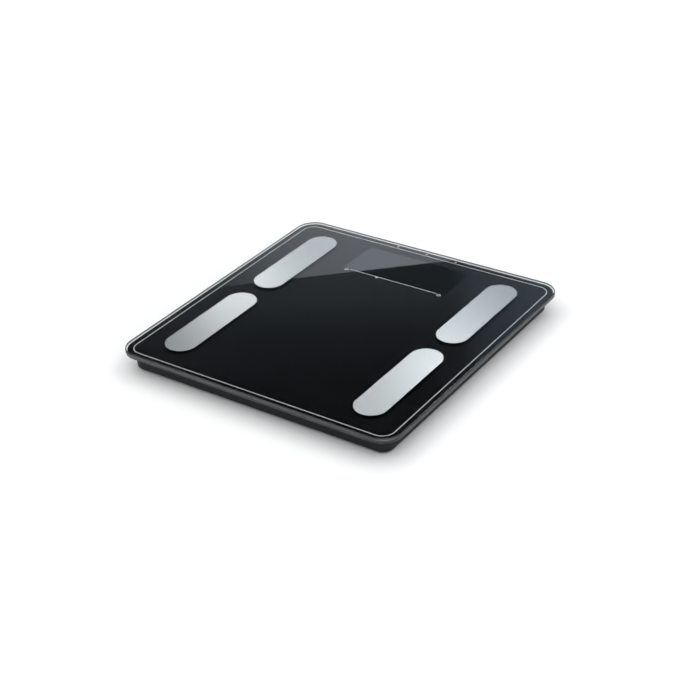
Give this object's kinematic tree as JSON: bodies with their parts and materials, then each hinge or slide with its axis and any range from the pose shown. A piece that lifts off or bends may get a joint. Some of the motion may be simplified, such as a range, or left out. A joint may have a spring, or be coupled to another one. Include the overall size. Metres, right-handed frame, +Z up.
{
  "type": "digital bathroom scale",
  "caption": "Low square glass platform scale with steel foot electrodes, a dark display window, a recessed moulded base on sprung load-cell feet, rear keys and a battery cover.",
  "frame": {"origin": "on the ground under the middle of the platform", "axes": "+X to the right of a person standing on it, +Y towards the display, +Z up"},
  "size_m": [0.3, 0.308, 0.0232],
  "materials": {
    "clear_glass": "polished",
    "black_print": "gloss ink under glass",
    "pale_ink": "pale ink under glass",
    "smoked_film": "smoked film",
    "electrode_steel": "satin brushed",
    "tray_plastic": "fine moulded grain",
    "foot_plastic": "moulded",
    "foot_rubber": "matte",
    "foam_tape": "foam",
    "load_cell_steel": "satin",
    "gauge_foil": "foil",
    "bright_steel": "plated",
    "board_laminate": "solder mask",
    "chip_resin": "resin",
    "header_plastic": "moulded",
    "wire_sleeve": "sleeve",
    "display_glass": "polished",
    "light_guide": "frosted",
    "strip_rubber": "matte",
    "key_plastic": "satin",
    "switch_plastic": "moulded",
    "cell_wrap": "printed wrap",
    "contact_metal": "nickel plated"
  },
  "bodies": {
    "scale_body": {"glass_platform": "clear_glass", "back_print": "black_print", "pale_print": "pale_ink", "display_filter": "smoked_film", "electrode_nuts": "bright_steel", "electrode_terminals": "contact_metal", "mounting_tape": "foam_tape", "base_tray": "tray_plastic", "strain_gauges": "gauge_foil", "load_cell_screws": "bright_steel", "main_board": "board_laminate", "board_screws": "bright_steel", "controller_chip": "chip_resin", "board_components": "header_plastic", "wire_headers": "header_plastic", "display_panel": "display_glass", "backlight": "light_guide", "zebra_strip": "strip_rubber", "display_frame": "switch_plastic", "key_switches": "switch_plastic", "unit_switch_body": "bright_steel", "battery_plus_tab": "contact_metal", "battery_minus_tab": "contact_metal", "battery_bridges": "contact_metal", "battery_leads": "wire_sleeve", "battery_front": "cell_wrap", "battery_middle": "cell_wrap", "battery_rear": "cell_wrap", "electrode_front_left": "electrode_steel", "electrode_lead_front_left": "wire_sleeve", "load_cell_front_left": "load_cell_steel", "load_cell_lead_front_left": "wire_sleeve", "electrode_front_right": "electrode_steel", "electrode_lead_front_right": "wire_sleeve", "load_cell_front_right": "load_cell_steel", "load_cell_lead_front_right": "wire_sleeve", "electrode_rear_left": "electrode_steel", "electrode_lead_rear_left": "wire_sleeve", "load_cell_rear_left": "load_cell_steel", "load_cell_lead_rear_left": "wire_sleeve", "electrode_rear_right": "electrode_steel", "electrode_lead_rear_right": "wire_sleeve", "load_cell_rear_right": "load_cell_steel", "load_cell_lead_rear_right": "wire_sleeve"},
    "cover": {"battery_cover": "tray_plastic"},
    "down_button": {"key_down": "key_plastic"},
    "set_button": {"key_set": "key_plastic"},
    "up_button": {"key_up": "key_plastic"},
    "unit_slider": {"unit_switch_knob": "key_plastic"},
    "foot_front_left": {"foot_shell_front_left": "foot_plastic", "foot_pad_front_left": "foot_rubber"},
    "foot_front_right": {"foot_shell_front_right": "foot_plastic", "foot_pad_front_right": "foot_rubber"},
    "foot_rear_left": {"foot_shell_rear_left": "foot_plastic", "foot_pad_rear_left": "foot_rubber"},
    "foot_rear_right": {"foot_shell_rear_right": "foot_plastic", "foot_pad_rear_right": "foot_rubber"}
  },
  "joints": [
    {"name": "foot_press_front_left", "type": "slide", "parent": "scale_body", "child": "foot_front_left", "axis": [0, 0, 1], "range_m": [0, 0.0006], "stiffness_N_per_m": 2000, "springref_m": -0.004, "deforming": ["load_cell_front_left"]},
    {"name": "foot_press_front_right", "type": "slide", "parent": "scale_body", "child": "foot_front_right", "axis": [0, 0, 1], "range_m": [0, 0.0006], "stiffness_N_per_m": 2000, "springref_m": -0.004, "deforming": ["load_cell_front_right"]},
    {"name": "foot_press_rear_left", "type": "slide", "parent": "scale_body", "child": "foot_rear_left", "axis": [0, 0, 1], "range_m": [0, 0.0006], "stiffness_N_per_m": 2000, "springref_m": -0.004, "deforming": ["load_cell_rear_left"]},
    {"name": "foot_press_rear_right", "type": "slide", "parent": "scale_body", "child": "foot_rear_right", "axis": [0, 0, 1], "range_m": [0, 0.0006], "stiffness_N_per_m": 2000, "springref_m": -0.004, "deforming": ["load_cell_rear_right"]},
    {"name": "down_button_press", "type": "slide", "parent": "scale_body", "child": "down_button", "axis": [0, -1, 0], "range_m": [0, 0.0008], "stiffness_N_per_m": 400, "springref_m": -0.002},
    {"name": "set_button_press", "type": "slide", "parent": "scale_body", "child": "set_button", "axis": [0, -1, 0], "range_m": [0, 0.0008], "stiffness_N_per_m": 400, "springref_m": -0.002},
    {"name": "up_button_press", "type": "slide", "parent": "scale_body", "child": "up_button", "axis": [0, -1, 0], "range_m": [0, 0.0008], "stiffness_N_per_m": 400, "springref_m": -0.002},
    {"name": "unit_slide", "type": "slide", "parent": "scale_body", "child": "unit_slider", "axis": [1, 0, 0], "range_m": [-0.0015, 0.0015]},
    {"name": "cover_swing", "type": "hinge", "parent": "scale_body", "child": "cover", "pos_m": [0, 0.015, 0.003], "axis": [-1, 0, 0], "range_deg": [0, 95]}
  ]
}
